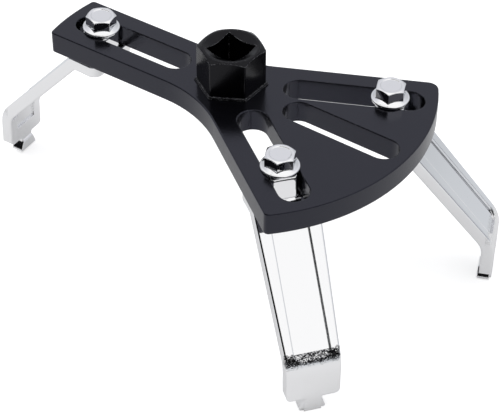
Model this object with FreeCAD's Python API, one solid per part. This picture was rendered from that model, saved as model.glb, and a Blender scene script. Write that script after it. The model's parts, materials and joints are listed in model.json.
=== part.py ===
import FreeCAD, Part
import math
import os

from FreeCAD import Vector

# An adjustable three-leg wrench for filter caps and tank lock rings. Millimetres, +Z up.
# The origin is where the drive axis meets the plate's top face. The arm points along -X.

# Plate
disc_radius = 75.0            # the arm's end and the fan's rim lie on this circle
plate_thickness = 8.8
arm_width = 26.0
waist_radius = 48.0           # the large hollow between the arm and each side of the fan
fan_back_margin = 12.6        # from the back slot's centre line to the fan's back edge
fan_front_margin = 13.4       # from the front slot's centre line to the fan's front edge
arm_corner = 1.6
fan_back_corner = 4.0
fan_front_corner = 1.8
rim_round = 0.5               # rounding along the plate's outline, top and bottom
slot_edge_round = 0.3

# Slots: direction in degrees from +X, and the radii at which each one starts and ends
slot_width = 11.2
arm_slot = (180.0, 19.2, 70.4)
back_slot = (25.0, 19.2, 70.4)
middle_slot = (-1.3, 24.0, 70.9)
front_slot = (-36.2, 18.3, 70.4)

# Drive hexagon
drive_flats = 22.0
drive_height = 16.0
drive_turn = 28.0             # direction of one corner, in degrees from +X
crown_radius = 10.5           # the turned top face
crown_drop = 1.3              # how far the chamfer comes down at the corners
drive_edge_round = 0.7
base_lip_flats = 23.5
base_lip_height = 0.9
base_lip_slope = 0.45
square_side = 12.9            # takes a 12.7 mm square drive
square_turn = 40.0            # direction of one corner of the square
square_depth = 15.0
mouth_radius = 9.75           # countersink at the square's mouth
mouth_depth = 1.6             # at the middle of the square's sides
spigot_radius = 8.0
spigot_chamfer = 0.5

# Legs, in their own frame: u runs outwards from the bolt's axis, z from the plate's top face
lid_gap = 0.6                 # the leg hangs this far below the plate until its bolt is tight
leg_thickness = 5.0
leg_half_width = 12.3         # at the bolt's axis
leg_taper = 0.056             # half width lost per millimetre outwards
heel_reach = 6.4              # the top of the leg runs this far inwards of the bolt
heel_corner = 4.0
knee_reach = 6.8              # where the outer slope leaves the leg's top face
slope_angle = 50.0            # below the horizontal
foot_reach = 43.8             # outer face of the upright foot
foot_thickness = 4.7
leg_height = 66.6             # from the plate's underside to the tip
knee_outer_radius = 1.2
knee_inner_radius = 1.4
ankle_outer_radius = 14.0
foot_corner = 2.0
leg_edge_round = 0.7

# Gripping tip under the foot
tip_height = 6.3
tip_half_width = 3.1
ear_half_width = 4.7
ear_thickness = 3.9
ear_straight = 0.9
ear_neck = 1.4
ear_round = 0.4
hook_depth = 0.8              # the ears stand this far inwards of the foot
hook_slope = 0.6              # chamfer along the hook's top edge
hook_edge = 0.3               # rounding along its bottom edge

# Recessed panels in the leg
panel_half_width = 6.6
panel_depth = 0.9
panel_corner = 3.0
panel_top_margin = 2.0        # along the slope, below the knee
panel_end_margin = 2.2        # along the slope, short of the ankle's corner
inner_panel_half_width = 5.6
inner_panel_depth = 0.7
inner_panel_start = 9.0
inner_panel_foot = 7.0        # how far it runs down the upright foot

# Guide lug on the leg, and its play in the slot
guide_clearance = 0.6         # each side
lug_back = 5.0                # inwards of the bolt
lug_front = 5.7               # outwards of the bolt, at the lug's top
lug_front_draft = 0.4         # the front face leans out by this much on its way down
lug_corner = 1.0
lug_top_round = 0.8
lug_below_face = 0.9          # the lug's top lies this far below the plate's top face
swing_margin = 0.05           # left between the lug and the slot when the leg is swung over

# Flange bolts, M6
bolt_radius = 3.0
thread_clearance = 0.05
bolt_flats = 10.0
flange_radius = 7.0
flange_edge = 1.1
flange_rise = 0.9
bolt_head_height = 5.9
head_top_radius = 4.75        # the flat on top of the head
head_chamfer_angle = 30.0     # below the horizontal
head_dish_radius = 3.9
head_dish_depth = 0.25
flange_gap = 0.05
bolt_end_margin = 1.0         # the bolt ends this far above the leg's underside
bolt_end_chamfer = 0.6

# Where each leg stands: slot, radius of its bolt, share of the lug's play it is swung by, and
# how far the leg and its bolt rock outwards together, in degrees, the bolts not being tight
leg_places = {
    "arm": (arm_slot, 59.7, 0.47, 2.1),
    "back": (back_slot, 57.8, -0.42, 0.0),
    "front": (front_slot, 51.5, -0.46, 0.0),
}
bolt_turns = {"arm": 38.0, "back": 30.0, "front": 33.0}

lug_half = slot_width / 2 - guide_clearance
leg_top = -(plate_thickness + lid_gap)
leg_tip = -(plate_thickness + leg_height)
cut_over = 5.0                # how far cutting solids stand out past what they cut
slope = math.radians(slope_angle)
up = Vector(0, 0, 1)


def polar(radius, degrees, z=0.0):
    angle = math.radians(degrees)
    return Vector(radius * math.cos(angle), radius * math.sin(angle), z)


def rounded_wire(points, radii):
    """A closed wire through the points, each corner rounded by its radius (0 keeps it sharp)."""
    starts = []
    ends = []
    middles = []
    count = len(points)
    for i in range(count):
        corner = points[i]
        radius = radii[i]
        if radius == 0:
            starts.append(corner)
            ends.append(corner)
            middles.append(None)
            continue
        back = (points[i - 1] - corner).normalize()
        ahead = (points[(i + 1) % count] - corner).normalize()
        half = back.getAngle(ahead) / 2
        reach = radius / math.tan(half)
        to_centre = (back + ahead).normalize()
        starts.append(corner + back * reach)
        ends.append(corner + ahead * reach)
        middles.append(corner + to_centre * (radius / math.sin(half) - radius))
    edges = []
    for i in range(count):
        if middles[i] is not None:
            edges.append(Part.Arc(starts[i], middles[i], ends[i]).toShape())
        following = starts[(i + 1) % count]
        if (following - ends[i]).Length > 1e-6:
            edges.append(Part.makeLine(ends[i], following))
    return Part.Wire(edges)


def prism(points, radii, travel):
    return Part.Face(rounded_wire(points, radii)).extrude(travel)


def regular_prism(flats, sides, turn, low, height):
    radius = flats / 2 / math.cos(math.pi / sides)
    corners = [polar(radius, turn + 360.0 / sides * k, low) for k in range(sides)]
    return prism(corners, [0] * sides, up * height)


def slot_cutter(slot, low, height):
    turn, inner, outer = slot
    half = slot_width / 2
    corners = [Vector(inner, -half, low), Vector(outer, -half, low)]
    corners += [Vector(outer, half, low), Vector(inner, half, low)]
    cutter = prism(corners, [half - 1e-4] * 4, up * height)
    cutter.rotate(Vector(0, 0, 0), up, turn)
    return cutter


def corner_edges(shape, places, tolerance=1.5):
    """The upright edges nearest the given places in plan."""
    found = []
    for edge in shape.Edges:
        first = edge.Vertexes[0].Point
        last = edge.Vertexes[-1].Point
        if abs(first.z - last.z) < 1e-3 or abs(first.x - last.x) > 1e-3:
            continue
        if any(math.hypot(first.x - p.x, first.y - p.y) < tolerance for p in places):
            found.append(edge)
    return found


def flat_edges(shape, heights, test):
    """Edges that lie level at one of the heights and pass the test on their middle point."""
    found = []
    for edge in shape.Edges:
        box = edge.BoundBox
        level = box.ZLength < 1e-4 and any(abs(box.ZMin - h) < 1e-4 for h in heights)
        middle = edge.valueAt((edge.FirstParameter + edge.LastParameter) / 2)
        if level and test(middle):
            found.append(edge)
    return found


def in_a_slot(point):
    for turn, inner, outer in (arm_slot, back_slot, middle_slot, front_slot):
        along = polar(1, turn)
        across = polar(1, turn + 90)
        u = point.x * along.x + point.y * along.y
        v = point.x * across.x + point.y * across.y
        if inner - 0.1 < u < outer + 0.1 and abs(v) < slot_width / 2 + 0.1:
            return True
    return False


def base_plate():
    low = -plate_thickness
    half_arm = arm_width / 2
    disc = Part.makeCylinder(disc_radius, plate_thickness, Vector(0, 0, low))
    arm = Part.makeBox(disc_radius + cut_over, arm_width, plate_thickness,
                       Vector(-disc_radius - cut_over, -half_arm, low))
    # The fan lies between two lines, each parallel to its own slot
    back_angle = math.radians(back_slot[0])
    front_angle = math.radians(front_slot[0])
    back_normal = Vector(-math.sin(back_angle), math.cos(back_angle), 0)
    front_normal = Vector(math.sin(front_angle), -math.cos(front_angle), 0)
    cross = back_normal.x * front_normal.y - back_normal.y * front_normal.x
    apex_x = (fan_back_margin * front_normal.y - fan_front_margin * back_normal.y) / cross
    apex_y = (back_normal.x * fan_front_margin - front_normal.x * fan_back_margin) / cross
    apex = Vector(apex_x, apex_y, low)
    far = 4 * disc_radius
    fan = prism([apex, apex + polar(far, front_slot[0]), apex + polar(far, back_slot[0])],
                [0, 0, 0], up * plate_thickness)
    plate = arm.fuse(fan).common(disc).removeSplitter()
    # Waists, where the arm's sides meet the fan's
    back_waist = Vector((half_arm * back_normal.y - fan_back_margin) / -back_normal.x, half_arm, 0)
    front_waist = Vector((half_arm * front_normal.y + fan_front_margin) / front_normal.x,
                         -half_arm, 0)
    plate = plate.makeFillet(waist_radius, corner_edges(plate, [back_waist, front_waist]))
    arm_end = math.sqrt(disc_radius ** 2 - half_arm ** 2)
    plate = plate.makeFillet(arm_corner, corner_edges(
        plate, [Vector(-arm_end, half_arm, 0), Vector(-arm_end, -half_arm, 0)]))
    back_along = math.sqrt(disc_radius ** 2 - fan_back_margin ** 2)
    back_tip = polar(back_along, back_slot[0]) + back_normal * fan_back_margin
    plate = plate.makeFillet(fan_back_corner, corner_edges(plate, [back_tip]))
    front_along = math.sqrt(disc_radius ** 2 - fan_front_margin ** 2)
    front_tip = polar(front_along, front_slot[0]) + front_normal * fan_front_margin
    plate = plate.makeFillet(fan_front_corner, corner_edges(plate, [front_tip]))
    outline = flat_edges(plate, [0, low], lambda point: True)
    plate = plate.makeFillet(rim_round, outline)
    for slot in (arm_slot, back_slot, middle_slot, front_slot):
        plate = plate.cut(slot_cutter(slot, low - cut_over, plate_thickness + 2 * cut_over))
    plate = plate.makeChamfer(slot_edge_round, flat_edges(plate, [0, low], in_a_slot))
    bore = Part.makeCylinder(spigot_radius, plate_thickness + 2 * cut_over,
                             Vector(0, 0, low - cut_over))
    return plate.cut(bore)


def drive_hex():
    corner_radius = drive_flats / math.sqrt(3)
    body = regular_prism(drive_flats, 6, drive_turn, 0, drive_height)
    # The crown is turned down in a cone that just reaches the corners
    cone_rise = crown_drop * corner_radius / (corner_radius - crown_radius)
    cone_height = drive_height - crown_drop + cone_rise
    crown = Part.makeCone(corner_radius, 0, cone_rise, Vector(0, 0, cone_height - cone_rise))
    barrel = Part.makeCylinder(corner_radius, drive_height - crown_drop)
    body = body.makeFillet(drive_edge_round, [edge for edge in body.Edges
                                              if edge.BoundBox.ZLength > drive_height / 2])
    body = body.common(barrel.fuse(crown))
    lip = regular_prism(base_lip_flats, 6, drive_turn, 0, base_lip_height)
    lip = lip.makeChamfer(base_lip_slope, flat_edges(lip, [base_lip_height], lambda point: True))
    spigot = Part.makeCylinder(spigot_radius, plate_thickness, Vector(0, 0, -plate_thickness))
    spigot = spigot.makeChamfer(spigot_chamfer,
                                flat_edges(spigot, [-plate_thickness], lambda point: True))
    square = regular_prism(square_side, 4, square_turn, drive_height - square_depth,
                           square_depth + cut_over)
    # The countersink keeps its slope on its way out past the top
    mouth_slope = mouth_depth / (mouth_radius - square_side / 2)
    mouth = Part.makeCone(square_side / 2, mouth_radius + cut_over,
                          mouth_depth + cut_over * mouth_slope,
                          Vector(0, 0, drive_height - mouth_depth))
    return body.fuse(lip).fuse(spigot).removeSplitter().cut(square).cut(mouth)


def leg_profile():
    """The leg's side view: heel, slope and upright foot, with the bends as arcs."""
    down = math.tan(slope)
    underside = leg_top - leg_thickness
    inner_start = knee_reach - leg_thickness / math.sin(slope)
    foot_inner = foot_reach - foot_thickness
    inner_knee = inner_start + leg_thickness / down
    points = [
        Vector(-heel_reach, 0, leg_top),
        Vector(knee_reach, 0, leg_top),
        Vector(foot_reach, 0, leg_top - (foot_reach - knee_reach) * down),
        Vector(foot_reach, 0, leg_tip),
        Vector(foot_inner, 0, leg_tip),
        Vector(foot_inner, 0, leg_top - (foot_inner - inner_start) * down),
        Vector(inner_knee, 0, underside),
        Vector(-heel_reach, 0, underside),
    ]
    ankle_inner = ankle_outer_radius - foot_thickness
    radii = [0, knee_outer_radius, ankle_outer_radius, 0, 0, ankle_inner, knee_inner_radius, 0]
    return points, radii


def slope_point(along, inwards=0.0):
    """A point on the leg's outer slope: along it from the knee, and inwards through it."""
    u = knee_reach + along * math.cos(slope) - inwards * math.sin(slope)
    z = leg_top - along * math.sin(slope) - inwards * math.cos(slope)
    return Vector(u, 0, z)


def outer_panel():
    """The recess in the outer slope, cut square to the slope."""
    length = (foot_reach - knee_reach) / math.cos(slope)
    outwards = Vector(math.sin(slope), 0, math.cos(slope))
    corners = []
    for along, side in ((panel_top_margin, -1), (length - panel_end_margin, -1),
                        (length - panel_end_margin, 1), (panel_top_margin, 1)):
        corners.append(slope_point(along, panel_depth) + Vector(0, side * panel_half_width, 0))
    return prism(corners, [panel_corner] * 4, outwards * cut_over)


def inner_panel():
    """The recess in the inner face: down the slope, round the ankle and onto the foot."""
    down = math.tan(slope)
    ankle_inner = ankle_outer_radius - foot_thickness
    foot_inner = foot_reach - foot_thickness
    inner_start = knee_reach - leg_thickness / math.sin(slope)
    foot_end = leg_top - (foot_inner - inner_start) * down - inner_panel_foot
    first = slope_point(inner_panel_start, leg_thickness)
    loops = []
    for depth in (inner_panel_depth, -cut_over / 5):
        start = first + Vector(math.sin(slope), 0, math.cos(slope)) * depth
        wall = foot_inner + depth
        ankle = Vector(wall, 0, start.z - (wall - start.x) * down)
        loops.append((start, ankle, Vector(wall, 0, foot_end)))
    deep, shallow = loops
    points = [deep[0], deep[1], deep[2], shallow[2], shallow[1], shallow[0]]
    radii = [0, ankle_inner + inner_panel_depth, 0, 0, ankle_inner - cut_over / 5, 0]
    half = inner_panel_half_width
    points = [point - Vector(0, half, 0) for point in points]
    return prism(points, radii, Vector(0, 2 * half, 0))


def front_outline():
    """What stays of the leg seen from outside: full width above the shoulders, then the tip."""
    shoulder = leg_tip + tip_height
    wide = leg_half_width + cut_over
    side = leg_half_width - leg_taper * foot_reach
    narrow = tip_half_width
    # The shoulder's corners are rounded on the foot's own width
    points = [
        Vector(0, -wide, cut_over), Vector(0, -wide, shoulder + 3 * foot_corner),
        Vector(0, -side, shoulder + 3 * foot_corner), Vector(0, -side, shoulder),
        Vector(0, -narrow, shoulder), Vector(0, -narrow, leg_tip - cut_over),
        Vector(0, narrow, leg_tip - cut_over), Vector(0, narrow, shoulder),
        Vector(0, side, shoulder), Vector(0, side, shoulder + 3 * foot_corner),
        Vector(0, wide, shoulder + 3 * foot_corner), Vector(0, wide, cut_over),
    ]
    radii = [0, 0, 0, foot_corner, 0.6, 0, 0, 0.6, foot_corner, 0, 0, 0]
    start = Vector(-heel_reach - cut_over, 0, 0)
    length = heel_reach + foot_reach + 2 * cut_over
    return prism([start + point for point in points], radii, Vector(length, 0, 0))


def ears():
    """The dovetail ears of the tip, which also stand inwards of the foot as a low hook."""
    shoulder = leg_tip + tip_height
    inner = foot_reach - foot_thickness - hook_depth
    neck = tip_half_width - 0.2
    widest = leg_tip + ear_straight
    top = shoulder - ear_neck
    points = [
        Vector(inner, -neck, top), Vector(inner, -ear_half_width, widest),
        Vector(inner, -ear_half_width, leg_tip), Vector(inner, ear_half_width, leg_tip),
        Vector(inner, ear_half_width, widest), Vector(inner, neck, top),
    ]
    dovetail = prism(points, [0, ear_round, ear_round, ear_round, ear_round, 0],
                     Vector(hook_depth + ear_thickness, 0, 0))

    def across(z):
        return [edge for edge in dovetail.Edges
                if edge.BoundBox.XMax < inner + 1e-4 and edge.BoundBox.ZMax < z + 1e-4
                and edge.BoundBox.ZMin > z - 1e-4]

    dovetail = dovetail.makeChamfer(hook_slope, across(top))
    return dovetail.makeFillet(hook_edge, across(leg_tip))


def guide_lug():
    """The block on the leg's top that runs in the slot."""
    bottom = leg_top - leg_thickness / 2
    top = -lug_below_face
    side = [Vector(-lug_back, -lug_half, bottom), Vector(-lug_back, -lug_half, top),
            Vector(lug_front, -lug_half, top),
            Vector(lug_front + lug_front_draft, -lug_half, leg_top),
            Vector(lug_front + lug_front_draft, -lug_half, bottom)]
    lug = prism(side, [0] * 5, Vector(0, 2 * lug_half, 0))
    upright = [edge for edge in lug.Edges if edge.BoundBox.ZLength > 1]
    lug = lug.makeChamfer(lug_corner, upright)
    return lug.makeFillet(lug_top_round, flat_edges(lug, [top], lambda point: True))


def round_leg(body):
    """Round the edges that run lengthwise down the leg's two sides."""
    edges = []
    for edge in body.Edges:
        box = edge.BoundBox
        across = box.YLength > max(box.XLength, box.ZLength)
        heel_upright = box.ZMax > leg_top - 0.1 and box.ZLength > leg_thickness / 2
        if not across and not (heel_upright and box.XLength < 0.1):
            edges.append(edge)
    return body.makeFillet(leg_edge_round, edges)


def leg():
    points, radii = leg_profile()
    wide = leg_half_width + cut_over
    blank = prism([point - Vector(0, wide, 0) for point in points], radii, Vector(0, 2 * wide, 0))
    far = foot_reach + cut_over
    heel_half = leg_half_width + leg_taper * heel_reach
    far_half = leg_half_width - leg_taper * far
    low = leg_tip - cut_over
    plan = [Vector(-heel_reach, -heel_half, low), Vector(far, -far_half, low)]
    plan += [Vector(far, far_half, low), Vector(-heel_reach, heel_half, low)]
    outline = prism(plan, [heel_corner, 0, 0, heel_corner], up * (cut_over - low))
    body = round_leg(blank.common(outline).removeSplitter())
    body = body.common(front_outline())
    body = body.cut(outer_panel()).cut(inner_panel())
    body = body.fuse(ears()).fuse(guide_lug())
    hole = Part.makeCylinder(bolt_radius + thread_clearance, -leg_tip, Vector(0, 0, leg_tip))
    return body.cut(hole).removeSplitter()


def flange_bolt():
    """An M6 bolt with a hexagon head on a round flange, in place over its slot at u = 0."""
    flange = Part.makeCylinder(flange_radius, flange_edge)
    flange = flange.makeFillet(flange_edge * 0.45, flat_edges(flange, [0, flange_edge],
                                                             lambda point: True))
    cone = Part.makeCone(flange_radius - 0.6, bolt_flats / 2, flange_rise,
                         Vector(0, 0, flange_edge))
    head = regular_prism(bolt_flats, 6, 0, 0, bolt_head_height)
    # The head is turned down in a cone that starts at the flat on its top
    widest = bolt_flats / math.sqrt(3) + 0.05
    fall = (widest - head_top_radius) * math.tan(math.radians(head_chamfer_angle))
    cone_top = Part.makeCone(widest, head_top_radius, fall,
                             Vector(0, 0, bolt_head_height - fall))
    barrel = Part.makeCylinder(widest, bolt_head_height - fall)
    head = head.common(barrel.fuse(cone_top))
    dish = Part.makeCone(head_dish_radius - head_dish_depth, head_dish_radius, head_dish_depth,
                         Vector(0, 0, bolt_head_height - head_dish_depth))
    length = -(leg_top - leg_thickness) + flange_gap - bolt_end_margin
    shank = Part.makeCylinder(bolt_radius, length + 1, Vector(0, 0, -length))
    shank = shank.makeChamfer(bolt_end_chamfer, flat_edges(shank, [-length], lambda point: True))
    bolt = flange.fuse(cone).fuse(head).fuse(shank).removeSplitter().cut(dish)
    bolt.translate(Vector(0, 0, flange_gap))
    return bolt


def full_swing():
    """How far the lug turns in the slot, in degrees, before its corners come to the walls."""
    flat = lug_front + lug_front_draft - lug_corner
    reach = math.hypot(lug_half, flat)
    return math.degrees(math.asin((slot_width / 2 - swing_margin) / reach)
                        - math.atan2(lug_half, flat))


def place(shape, slot, radius, swing, rock):
    """Rock a piece until its flange bears on the slot's edges, swing it, and move it there."""
    bearing = math.sqrt(flange_radius ** 2 - (slot_width / 2) ** 2)
    placed = shape.copy()
    placed.rotate(Vector(0, 0, 0), Vector(0, 1, 0), -rock)
    placed.translate(up * bearing * math.sin(math.radians(rock)))
    placed.rotate(Vector(0, 0, 0), up, slot[0] + swing)
    placed.translate(polar(radius, slot[0]))
    return placed


def build():
    parts = {"base_plate": base_plate(), "drive_hex": drive_hex()}
    leg_shape = leg()
    bolt_shape = flange_bolt()
    for name, (slot, radius, share, rock) in leg_places.items():
        swing = share * full_swing()
        turned_bolt = bolt_shape.copy()
        turned_bolt.rotate(Vector(0, 0, 0), up, bolt_turns[name])
        parts["leg_" + name] = place(leg_shape, slot, radius, swing, rock)
        parts["bolt_" + name] = place(turned_bolt, slot, radius, swing, rock)
    return parts


os.makedirs("parts", exist_ok=True)
for node, shape in build().items():
    solids = shape.Solids
    print(node, "solids", len(solids), "valid", shape.isValid(), "volume", round(shape.Volume, 1))
    solids[0].exportStep("parts/" + node + ".step")
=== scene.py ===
# %% [markdown]
# # A three-leg wrench for filter caps and lock rings
# A flat black steel plate carries a hexagon with a square socket. Three cranked legs,
# chromium plated, slide in slots under it, and a flange bolt clamps each one.
# The solids come ready made, in metres, with the drive axis on Z and the plate's top face at
# zero height. What is left for Blender is what the metal looks like: its finish, its light
# and where one stands to look at it.

# %% Load the solids
import json
import math

import bpy
from mathutils import Matrix, Vector


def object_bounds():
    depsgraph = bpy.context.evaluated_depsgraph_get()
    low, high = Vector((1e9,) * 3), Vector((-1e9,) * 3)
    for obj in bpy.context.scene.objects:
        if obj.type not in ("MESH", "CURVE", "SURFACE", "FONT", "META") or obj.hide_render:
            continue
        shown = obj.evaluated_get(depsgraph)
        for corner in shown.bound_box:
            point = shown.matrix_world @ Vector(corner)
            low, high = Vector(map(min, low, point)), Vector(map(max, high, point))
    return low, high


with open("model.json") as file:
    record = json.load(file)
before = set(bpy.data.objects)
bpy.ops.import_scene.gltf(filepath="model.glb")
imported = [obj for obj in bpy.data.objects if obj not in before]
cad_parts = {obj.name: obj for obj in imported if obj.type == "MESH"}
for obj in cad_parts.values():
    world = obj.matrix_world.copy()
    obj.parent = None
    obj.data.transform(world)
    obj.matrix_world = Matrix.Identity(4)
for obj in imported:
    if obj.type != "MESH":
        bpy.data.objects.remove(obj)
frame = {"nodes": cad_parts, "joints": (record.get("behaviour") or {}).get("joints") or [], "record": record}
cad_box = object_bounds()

MM = 0.001
LEGS = ("arm", "back", "front")
print("solids:", sorted(frame["nodes"]))

# %% [markdown]
# Colours are chosen on screen as hex values, but Cycles works in linear light, so one
# function turns one into the other. A second small function adds a node to a tree: its
# settings are given by name, and an input is either a plain value or another node's output.
# Patterns are planned at their real size, so a third turns millimetres into a texture's scale.

# %% Colour, node and scale helpers


def linear(code):
    """A hex colour such as #1a1b1e as linear red, green, blue and alpha."""
    parts = [int(code[i:i + 2], 16) / 255 for i in (1, 3, 5)]
    parts = [c / 12.92 if c <= 0.04045 else ((c + 0.055) / 1.055) ** 2.4 for c in parts]
    return (*parts, 1.0)


def add(tree, kind, inputs=None, **settings):
    """Add a node to the tree with its settings, and set or link its inputs."""
    made = tree.nodes.new(kind)
    for name, value in settings.items():
        setattr(made, name, value)
    for name, value in (inputs or {}).items():
        socket = made.inputs[name]
        if isinstance(value, bpy.types.NodeSocket):
            tree.links.new(value, socket)
        else:
            socket.default_value = value
    return made


def per_metre(size_mm):
    """The scale that makes a pattern repeat about once in this many millimetres."""
    return 1.0 / (size_mm * MM)


WHITE = linear("#ffffff")
print("mid grey in linear light:", round(linear("#808080")[0], 3))

# %% [markdown]
# Each material starts as an empty tree. A solid keeps its shape and only changes its material.

# %% New materials, and giving them to solids


def new_material(name):
    """An empty node material and its tree."""
    material = bpy.data.materials.new(name)
    material.use_nodes = True
    material.node_tree.nodes.clear()
    return material, material.node_tree


def wear(node_name, material):
    """Give a solid its material, and print which one it wears."""
    solid = frame["nodes"][node_name]
    solid.data.materials.clear()
    solid.data.materials.append(material)
    print(node_name, "wears", material.name)


# %% [markdown]
# The plate is laser-cut steel with a baked black coating. Along its sharp outward edges a
# painted highlight stands in for the light those edges catch: light grey mixed into the paint
# in broken patches. Painting those lines by hand would tie them to one mesh. Instead, the angle
# between the true normal and a normal rounded over half a millimetre finds the edges, and a fine
# noise breaks them up. The angle finds inward corners as well. Ambient occlusion is low in a
# corner, so it takes those out.

# %% Painted highlight along the paint's outward edges
PAINT_EDGE_MM = 0.5
PATCH_MM = 0.7
CORNER_MM = 1.2


def painted_edge_highlight(tree, where, rounded, gain):
    """How much painted highlight goes on: broken patches along outward edges, up to the gain."""
    face = add(tree, "ShaderNodeNewGeometry")
    agreement = add(tree, "ShaderNodeVectorMath", {0: rounded, 1: face.outputs["Normal"]},
                    operation="DOT_PRODUCT")
    edge = add(tree, "ShaderNodeMapRange",
               {"Value": agreement.outputs["Value"], "From Min": 0.98, "From Max": 0.80,
                "To Min": 0.0, "To Max": gain})
    grain = add(tree, "ShaderNodeTexNoise",
                {"Vector": where, "Scale": per_metre(PATCH_MM), "Detail": 3.0})
    patchy = add(tree, "ShaderNodeMapRange",
                 {"Value": grain.outputs["Fac"], "From Min": 0.42, "From Max": 0.62})
    openness = add(tree, "ShaderNodeAmbientOcclusion", {"Distance": CORNER_MM * MM}, samples=6)
    outward = add(tree, "ShaderNodeMapRange",
                  {"Value": openness.outputs["AO"], "From Min": 0.55, "From Max": 0.7})
    broken = add(tree, "ShaderNodeMath",
                 {0: edge.outputs["Result"], 1: patchy.outputs["Result"]}, operation="MULTIPLY")
    highlight_share = add(tree, "ShaderNodeMath",
               {0: broken.outputs["Value"], 1: outward.outputs["Result"]}, operation="MULTIPLY")
    return highlight_share.outputs["Value"]


# The painted edge highlight lies within this distance of an edge.
print("film thins within", PAINT_EDGE_MM, "mm of an edge")

# %% [markdown]
# The film itself is glossy but not a mirror: it dries with a faint orange-peel ripple about a
# millimetre across, and it is never one even black. Two noises of different grain do this. A
# slow one changes colour and roughness, and a fine one is the ripple's height in a bump. The
# shine of this coating is faintly blue, which goes into the tint of its specular colour.

# %% Baked black coating
CLOUD_MM = 14.0
PEEL_MM = 0.9
PEEL_DEPTH_MM = 0.05


def baked_black(name, dark, light, sheen, highlight_grey, roughness, peel, edge_gain, ior):
    """A baked paint film: cloudy black, orange peel, and a painted grey highlight on outward edges."""
    material, tree = new_material(name)
    where = add(tree, "ShaderNodeTexCoord").outputs["Object"]
    cloud = add(tree, "ShaderNodeTexNoise",
                {"Vector": where, "Scale": per_metre(CLOUD_MM), "Detail": 4.0, "Roughness": 0.6})
    tint = add(tree, "ShaderNodeMix",
               {"Factor": cloud.outputs["Fac"], "A": linear(dark), "B": linear(light)},
               data_type="RGBA")
    gloss = add(tree, "ShaderNodeMapRange",
                {"Value": cloud.outputs["Fac"], "From Min": 0.3, "From Max": 0.7,
                 "To Min": roughness * 0.85, "To Max": roughness * 1.15})
    rounded = add(tree, "ShaderNodeBevel", {"Radius": PAINT_EDGE_MM * MM}, samples=6)
    highlight_share = painted_edge_highlight(tree, where, rounded.outputs["Normal"], edge_gain)
    # Painted highlight: light grey mixed into the black along outward edges.
    film = add(tree, "ShaderNodeMix",
               {"Factor": highlight_share, "A": tint.outputs["Result"], "B": linear(highlight_grey)},
               data_type="RGBA")
    ripple = add(tree, "ShaderNodeTexNoise",
                 {"Vector": where, "Scale": per_metre(PEEL_MM), "Detail": 2.0})
    bump = add(tree, "ShaderNodeBump",
               {"Height": ripple.outputs["Fac"], "Strength": peel,
                "Distance": PEEL_DEPTH_MM * MM, "Normal": rounded.outputs["Normal"]})
    paint = add(tree, "ShaderNodeBsdfPrincipled",
                {"Base Color": film.outputs["Result"], "Roughness": gloss.outputs["Result"],
                 "Normal": bump.outputs["Normal"], "IOR": ior, "Specular Tint": linear(sheen)})
    add(tree, "ShaderNodeOutputMaterial", {"Surface": paint.outputs["BSDF"]})
    return material


# The plate's painted edge highlight is a mid grey.
plate_paint = baked_black("baked_black_coating", dark="#040406", light="#08080b",
                          sheen="#e2e4ff", highlight_grey="#8a8b90", roughness=0.2, peel=0.5,
                          edge_gain=0.4, ior=1.55)
wear("base_plate", plate_paint)

# %% [markdown]
# The hexagon is milled steel under the same kind of black, but on machined faces the film
# lies smoother. It is a deeper black with less shine, and its painted edge highlight is brighter.

# %% Gloss black on the drive
# The hexagon's painted edge highlight is paler and stronger than the plate's.
drive_paint = baked_black("gloss_black_on_machined_steel", dark="#010102", light="#030304",
                          sheen="#f4f4ff", highlight_grey="#a6a7ab", roughness=0.2, peel=0.3,
                          edge_gain=0.8, ior=1.32)
wear("drive_hex", drive_paint)

# %% [markdown]
# Round the outside of each leg's lower bend the steel was left rough under the chrome. Each
# leg stands swung a little in its slot, and the arm's one also leans. So each measures that
# band in its own frame: out from its bolt, and down from its top. A noise makes the band's
# upper and lower edges wander, and the upper one is the sharper.

# %% Where a leg is rough
BAND_TOP = -49.6 * MM
BAND_LOW = -53.4 * MM
BAND_REACH = 40.0 * MM
TOP_FADE = 0.6 * MM
LOW_FADE = 1.8 * MM
WANDER = 3.0 * MM
WANDER_SIZE_MM = 1.6


def own_frame(tree, where, bolt, turn, rock):
    """The point in the leg's own frame: X out from its bolt and Z up along the bolt."""
    level = add(tree, "ShaderNodeVectorRotate",
                {"Vector": where, "Center": bolt, "Angle": -turn}, rotation_type="Z_AXIS")
    upright = add(tree, "ShaderNodeVectorRotate",
                  {"Vector": level.outputs["Vector"], "Center": bolt, "Angle": rock},
                  rotation_type="Y_AXIS")
    own = add(tree, "ShaderNodeVectorMath", {0: upright.outputs["Vector"], 1: bolt},
              operation="SUBTRACT")
    return add(tree, "ShaderNodeSeparateXYZ", {"Vector": own.outputs["Vector"]}).outputs


def rough_band(tree, where, own, amount):
    """How rough the steel is here: the amount inside the band, and 0 outside it."""
    noise = add(tree, "ShaderNodeTexNoise",
                {"Vector": where, "Scale": per_metre(WANDER_SIZE_MM), "Detail": 3.0})
    height = add(tree, "ShaderNodeMath", {0: noise.outputs["Fac"], 1: WANDER, 2: own["Z"]},
                 operation="MULTIPLY_ADD")
    below_top = add(tree, "ShaderNodeMapRange",
                    {"Value": height.outputs["Value"],
                     "From Min": BAND_TOP + (WANDER + TOP_FADE) / 2,
                     "From Max": BAND_TOP + (WANDER - TOP_FADE) / 2})
    above_low = add(tree, "ShaderNodeMapRange",
                    {"Value": height.outputs["Value"],
                     "From Min": BAND_LOW + (WANDER - LOW_FADE) / 2,
                     "From Max": BAND_LOW + (WANDER + LOW_FADE) / 2})
    between = add(tree, "ShaderNodeMath",
                  {0: below_top.outputs["Result"], 1: above_low.outputs["Result"]},
                  operation="MULTIPLY")
    outside = add(tree, "ShaderNodeMath", {0: own["X"], 1: BAND_REACH},
                  operation="GREATER_THAN")
    shape = add(tree, "ShaderNodeMath",
                {0: between.outputs["Value"], 1: outside.outputs["Value"]},
                operation="MULTIPLY")
    return add(tree, "ShaderNodeMath", {0: shape.outputs["Value"], 1: amount},
               operation="MULTIPLY").outputs["Value"]


print("rough band:", round((BAND_TOP - BAND_LOW) / MM, 1), "mm tall")

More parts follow.
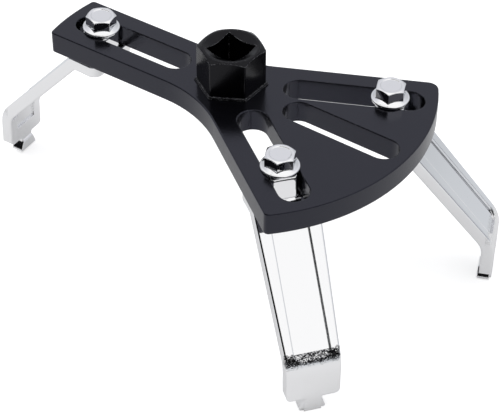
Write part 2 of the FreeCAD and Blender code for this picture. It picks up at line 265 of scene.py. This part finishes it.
# %% [markdown]
# Chromium plate on forged steel is a mirror over a surface that was never quite flat, so
# reflections swim a little: a very shallow noise several millimetres across bends them.
# Metallic is 1, and the tint is nearly white. That is brighter than chromium really is, and
# makes up for the lamps, which these mirrors don't show. The normal is rounded at the edges,
# so that each edge catches a thin reflection of its own. In the rough band the plate glitters:
# every grain is a cell with its own dark or bright tone, and its height in a bump scatters
# the light.

# %% Chromium plate
SWIM_MM = 9.0
SWIM_DEPTH_MM = 0.2
GRAIN_MM = 0.42
PIT_MM = 0.5
GRAIN_DEPTH_MM = 0.035
CLEAN_ROUGHNESS = 0.05
BAND_ROUGHNESS = 0.16
BRIGHT = linear("#f9f9fa")
DARK_GRAIN = linear("#343437")


def grains(tree, where, band, smooth):
    """Colour, roughness and normal of the plate, with grains as far as the band says."""
    cells = add(tree, "ShaderNodeTexVoronoi", {"Vector": where, "Scale": per_metre(GRAIN_MM)})
    chance = add(tree, "ShaderNodeSeparateXYZ", {"Vector": cells.outputs["Color"]})
    dark_cell = add(tree, "ShaderNodeMapRange",
                    {"Value": chance.outputs["X"], "From Min": 0.4, "From Max": 0.8,
                     "To Min": 1.0, "To Max": 0.0})
    speck = add(tree, "ShaderNodeMath", {0: dark_cell.outputs["Result"], 1: band},
                operation="MULTIPLY")
    colour = add(tree, "ShaderNodeMix",
                 {"Factor": speck.outputs["Value"], "A": BRIGHT, "B": DARK_GRAIN},
                 data_type="RGBA")
    pits = add(tree, "ShaderNodeTexNoise", {"Vector": where, "Scale": per_metre(PIT_MM)})
    relief = add(tree, "ShaderNodeMath",
                 {0: cells.outputs["Distance"], 1: pits.outputs["Fac"]}, operation="ADD")
    glitter = add(tree, "ShaderNodeBump",
                  {"Height": relief.outputs["Value"], "Strength": band,
                   "Distance": GRAIN_DEPTH_MM * MM, "Normal": smooth})
    dull = add(tree, "ShaderNodeMapRange",
               {"Value": band, "To Min": CLEAN_ROUGHNESS, "To Max": BAND_ROUGHNESS})
    return colour.outputs["Result"], dull.outputs["Result"], glitter.outputs["Normal"]


def chrome(name, edge_mm, rough_leg=None):
    """Chromium plate. A leg's bolt, turn, rock and amount give it the rough band."""
    material, tree = new_material(name)
    where = add(tree, "ShaderNodeTexCoord").outputs["Object"]
    soft_edges = add(tree, "ShaderNodeBevel", {"Radius": edge_mm * MM}, samples=8)
    swim = add(tree, "ShaderNodeTexNoise",
               {"Vector": where, "Scale": per_metre(SWIM_MM), "Detail": 1.5})
    shallow = add(tree, "ShaderNodeBump",
                  {"Height": swim.outputs["Fac"], "Strength": 0.12,
                   "Distance": SWIM_DEPTH_MM * MM, "Normal": soft_edges.outputs["Normal"]})
    colour, roughness, normal = BRIGHT, CLEAN_ROUGHNESS, shallow.outputs["Normal"]
    if rough_leg:
        bolt, turn, rock, amount = rough_leg
        band = rough_band(tree, where, own_frame(tree, where, bolt, turn, rock), amount)
        colour, roughness, normal = grains(tree, where, band, normal)
    metal = add(tree, "ShaderNodeBsdfPrincipled",
                {"Base Color": colour, "Metallic": 1.0, "Roughness": roughness, "Normal": normal})
    add(tree, "ShaderNodeOutputMaterial", {"Surface": metal.outputs["BSDF"]})
    return material


bolt_plate = chrome("chromium_plate_on_bolts", edge_mm=0.35)
for leg in LEGS:
    wear("bolt_" + leg, bolt_plate)

# %% [markdown]
# The band differs from leg to leg: it stands out on the front leg and is faint on the other
# two. Where each leg points is read from the frame. Its bolt's joint gives a place and a
# leaning axis, and the mount at its jaw tip gives the way it is turned.

# %% The legs' plate
BAND_AMOUNT = {"arm": 0.2, "back": 0.2, "front": 1.0}
joints = {joint["name"]: joint for joint in frame["joints"]}
mounts = {mount["name"]: mount for mount in frame["record"]["mounts"]}
for leg in LEGS:
    bolt = Vector(joints["bolt_turn_" + leg]["pos_m"])
    axis = Vector(joints["bolt_turn_" + leg]["axis"])
    tip = Vector(mounts["jaw_tip_" + leg]["pos_m"])
    turn = math.atan2(tip.y - bolt.y, tip.x - bolt.x)
    rock = math.acos(min(1.0, axis.z))
    leg_plate = chrome("chromium_plate_leg_" + leg, edge_mm=0.6,
                       rough_leg=(bolt, turn, rock, BAND_AMOUNT[leg]))
    wear("leg_" + leg, leg_plate)
    print(leg, "points", round(math.degrees(turn), 1), "and rocks", round(math.degrees(rock), 1))

# %% [markdown]
# The wrench stands on its jaw tips on a pale table. The table is a plain light grey with
# painted shade that darkens and cools it a little with distance, and so shades the mirrors
# that look outwards. Towards the camera it also gives off light, so that it reads as a white
# sweep while the shadow stays on it, and close to the wrench it gives mirrors a little light too.

# %% Table
TABLE_SIZE = 8.0
FAR_FROM = 0.14
FAR_TO = 0.36
CAMERA_GLOW = 0.55
MIRROR_GLOW = 0.05

table_height = cad_box[0].z
bpy.ops.mesh.primitive_plane_add(size=TABLE_SIZE, location=(0, 0, table_height))
floor = bpy.context.object
floor.name = "floor"
floor_material, tree = new_material("pale_table")
where = add(tree, "ShaderNodeTexCoord").outputs["Object"]
away = add(tree, "ShaderNodeVectorMath", {0: where}, operation="LENGTH")
far = add(tree, "ShaderNodeMapRange",
          {"Value": away.outputs["Value"], "From Min": FAR_FROM, "From Max": FAR_TO},
          interpolation_type="SMOOTHSTEP")
# Painted shade: the table's grey darkens and cools between these two distances.
table = add(tree, "ShaderNodeMix",
            {"Factor": far.outputs["Result"], "A": linear("#dcdcdc"), "B": linear("#ced1d4")},
            data_type="RGBA")
pale = add(tree, "ShaderNodeBsdfDiffuse", {"Color": table.outputs["Result"]})

rays = add(tree, "ShaderNodeLightPath")
in_view = add(tree, "ShaderNodeMath", {0: rays.outputs["Is Camera Ray"], 1: CAMERA_GLOW},
              operation="MULTIPLY")
near_glow = add(tree, "ShaderNodeMapRange",
                {"Value": far.outputs["Result"], "To Min": MIRROR_GLOW, "To Max": 0.0})
in_mirrors = add(tree, "ShaderNodeMath",
                 {0: rays.outputs["Is Glossy Ray"], 1: near_glow.outputs["Result"]},
                 operation="MULTIPLY")
lift = add(tree, "ShaderNodeMath",
           {0: in_view.outputs["Value"], 1: in_mirrors.outputs["Value"]}, operation="ADD")
glow = add(tree, "ShaderNodeEmission", {"Color": WHITE, "Strength": lift.outputs["Value"]})
lit_table = add(tree, "ShaderNodeAddShader",
                {0: pale.outputs["BSDF"], 1: glow.outputs["Emission"]})
add(tree, "ShaderNodeOutputMaterial", {"Surface": lit_table.outputs["Shader"]})
floor.data.materials.append(floor_material)
print("table at", round(table_height / MM, 1), "mm")

# %% [markdown]
# Chrome shows nothing but its surroundings, so the light is planned as a room. The ceiling is
# white. The walls on the far side are a cool light grey that pales upwards and is white from
# about sixty degrees. Behind the viewer hangs black cloth, up to about twenty-five degrees
# above the table, and it gives the polished faces their dark tones.

# %% Walls of the room
TOWARDS_CLOTH = (0.259, -0.966, 0.0)


def wall(tree, height, stops):
    """Brightness of a wall by height, from the table (0) to the zenith (1)."""
    ramp = add(tree, "ShaderNodeValToRGB", {"Fac": height})
    while len(ramp.color_ramp.elements) < len(stops):
        ramp.color_ramp.elements.new(0.5)
    for element, (place, code) in zip(ramp.color_ramp.elements, stops):
        element.position = place
        element.color = linear(code)
    return ramp.outputs["Color"]


world = bpy.data.worlds.new("studio")
bpy.context.scene.world = world
world.use_nodes = True
tree = world.node_tree
tree.nodes.clear()
direction = add(tree, "ShaderNodeTexCoord").outputs["Generated"]
height = add(tree, "ShaderNodeSeparateXYZ", {"Vector": direction}).outputs["Z"]
black_cloth = wall(tree, height, [(0.0, "#161617"), (0.37, "#1a1a1b"), (0.47, "#ffffff"),
                                  (1.0, "#ffffff")])
far_wall = wall(tree, height, [(0.0, "#c2c6cd"), (0.30, "#c4c6ca"), (0.66, "#dbdce2"),
                               (0.85, "#ffffff")])
facing = add(tree, "ShaderNodeVectorMath", {0: direction, 1: TOWARDS_CLOTH},
             operation="DOT_PRODUCT")
share = add(tree, "ShaderNodeMapRange",
            {"Value": facing.outputs["Value"], "From Min": 0.09, "From Max": 0.5},
            interpolation_type="SMOOTHSTEP")
walls = add(tree, "ShaderNodeMix",
            {"Factor": share.outputs["Result"], "A": far_wall, "B": black_cloth},
            data_type="RGBA")
print("black cloth towards", TOWARDS_CLOTH)

# %% [markdown]
# Behind the viewer's left shoulder stands a large black card, which reaches some sixty-five
# degrees from its middle, upwards too. It draws the black lines along polished edges. Only
# glossy rays meet it, so it shows in reflections and shades nothing. The camera itself sees
# plain white in every direction.

# %% The card, and what the camera sees
TOWARDS_CARD = (-0.087, -0.996, 0.0)
CARD_BLACK = linear("#121213")

rays = add(tree, "ShaderNodeLightPath")
beside = add(tree, "ShaderNodeVectorMath", {0: direction, 1: TOWARDS_CARD},
             operation="DOT_PRODUCT")
on_card = add(tree, "ShaderNodeMapRange",
              {"Value": beside.outputs["Value"], "From Min": 0.34, "From Max": 0.44})
card = add(tree, "ShaderNodeMath",
           {0: on_card.outputs["Result"], 1: rays.outputs["Is Glossy Ray"]},
           operation="MULTIPLY")
with_card = add(tree, "ShaderNodeMix",
                {"Factor": card.outputs["Value"], "A": walls.outputs["Result"],
                 "B": CARD_BLACK}, data_type="RGBA")
room = add(tree, "ShaderNodeBackground",
           {"Color": with_card.outputs["Result"], "Strength": 1.0})
plain_white = add(tree, "ShaderNodeBackground", {"Color": WHITE, "Strength": 1.0})
mixed = add(tree, "ShaderNodeMixShader",
            {0: rays.outputs["Is Camera Ray"], 1: room.outputs["Background"],
             2: plain_white.outputs["Background"]})
add(tree, "ShaderNodeOutputWorld", {"Surface": mixed.outputs["Shader"]})
print("black card towards", TOWARDS_CARD)

# %% [markdown]
# The room's light comes from everywhere and hardly throws a shadow. Two large square lamps
# add the soft shadow under the legs. Mirrors don't see them, so they put no bright squares on
# the chrome.

# %% Lamps
LAMP_AIM = Vector((0.0, 0.0, -0.03))


def softbox(name, place, size, power):
    """A square area lamp that looks at a point under the plate and isn't seen in mirrors."""
    lamp = bpy.data.lights.new(name, "AREA")
    lamp.shape = "SQUARE"
    lamp.size = size
    lamp.energy = power
    lamp_object = bpy.data.objects.new(name, lamp)
    bpy.context.scene.collection.objects.link(lamp_object)
    lamp_object.location = place
    towards = LAMP_AIM - Vector(place)
    lamp_object.rotation_euler = towards.to_track_quat("-Z", "Y").to_euler()
    lamp_object.visible_glossy = False
    print(name, "lamp,", power, "W,", round(towards.length, 2), "m away")


softbox("key", place=(-0.7, -0.5, 1.1), size=0.7, power=5.0)
softbox("fill", place=(0.9, 0.4, 0.9), size=0.9, power=2.0)

# %% [markdown]
# The camera stands in front, on the fan's side, and looks down at the wrench at about forty
# degrees. It is more than half a metre away and has a long lens, which keeps the perspective
# gentle. Its axes are worked out one by one: ahead first, then level to the right, then up,
# and the small roll turns the last two.

# %% Camera
AZIMUTH = math.radians(34.19)
ELEVATION = math.radians(40.30)
ROLL = math.radians(0.48)
DISTANCE = 570.64 * MM
AIM = Vector((45.06, -53.52, 0.0)) * MM
LENS_MM = 124.02
SENSOR_MM = 36.0

ahead = Vector((-math.sin(AZIMUTH) * math.cos(ELEVATION),
                math.cos(AZIMUTH) * math.cos(ELEVATION), -math.sin(ELEVATION)))
level = Vector((math.cos(AZIMUTH), math.sin(AZIMUTH), 0.0))
upward = level.cross(ahead)
right = math.cos(ROLL) * level + math.sin(ROLL) * upward
over = math.cos(ROLL) * upward - math.sin(ROLL) * level
lens = bpy.data.cameras.new("camera")
lens.sensor_width = SENSOR_MM
lens.lens = LENS_MM
lens.clip_start = 0.01
lens.clip_end = 20.0
camera = bpy.data.objects.new("camera", lens)
bpy.context.scene.collection.objects.link(camera)
turned = Matrix((right, over, -ahead)).transposed().to_4x4()
camera.matrix_world = Matrix.Translation(AIM - DISTANCE * ahead) @ turned
bpy.context.scene.camera = camera
bpy.context.scene.view_settings.view_transform = "Standard"
print("camera at", [round(c, 4) for c in camera.location])
